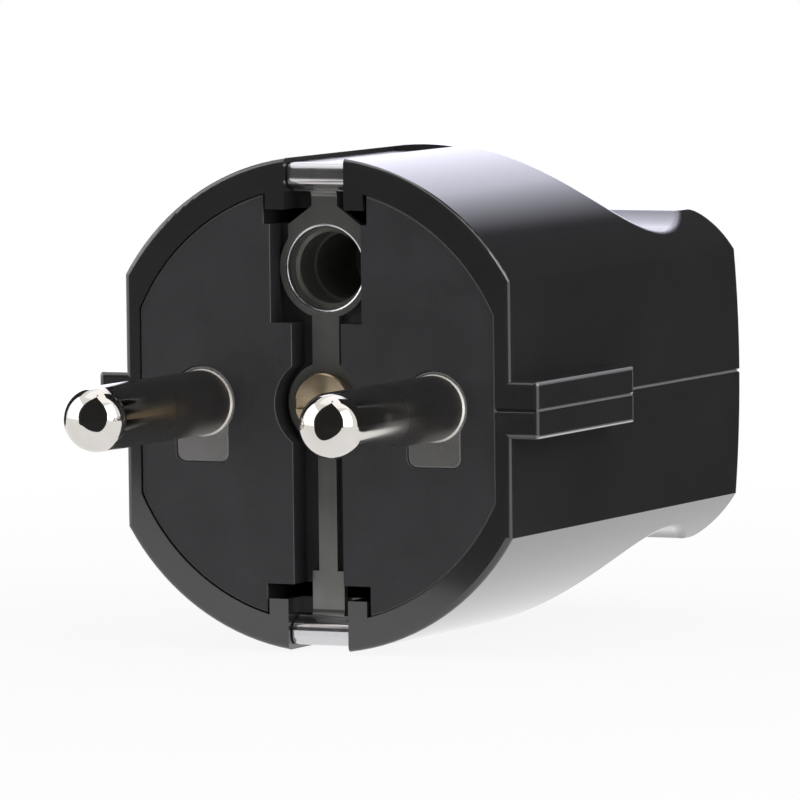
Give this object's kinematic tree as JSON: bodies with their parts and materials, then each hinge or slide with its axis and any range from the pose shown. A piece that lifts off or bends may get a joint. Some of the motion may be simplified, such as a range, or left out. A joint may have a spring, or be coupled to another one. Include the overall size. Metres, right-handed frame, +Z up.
{
  "type": "schuko plug",
  "caption": "Black rewirable mains plug with round pins, side earth contacts, an earth socket in its face, finger grooves, and a rear cable entry.",
  "frame": {"origin": "centre of the face, in the plane of the housing's front rim", "axes": "+X to the right seen from the pins, +Y from the face towards the cable entry, +Z up through the earth socket"},
  "size_m": [0.036, 0.0609, 0.0366],
  "materials": {
    "housing_black": "satin black moulding",
    "carrier_grey": "fine matt dark grey moulding",
    "nickel": "bright nickel plate",
    "terminal_metal": "dull nickel-plated brass",
    "strap_metal": "stamped nickel-plated strip",
    "screw_steel": "zinc-plated steel",
    "brass": "bare brass",
    "clamp_plastic": "matt black moulding",
    "gland_rubber": "soft black rubber"
  },
  "bodies": {
    "root": {"upper_housing": "housing_black", "lower_housing": "housing_black", "contact_carrier": "carrier_grey", "left_pin": "nickel", "right_pin": "nickel", "left_terminal_block": "terminal_metal", "right_terminal_block": "terminal_metal", "left_terminal_screw": "screw_steel", "right_terminal_screw": "screw_steel", "earth_strap": "strap_metal", "earth_socket": "nickel", "earth_terminal_screw": "screw_steel", "centre_screw": "brass", "centre_nut": "brass", "cord_clamp": "clamp_plastic", "left_clamp_screw": "screw_steel", "right_clamp_screw": "screw_steel", "left_housing_screw": "screw_steel", "right_housing_screw": "screw_steel", "cable_gland": "gland_rubber"}
  },
  "joints": []
}
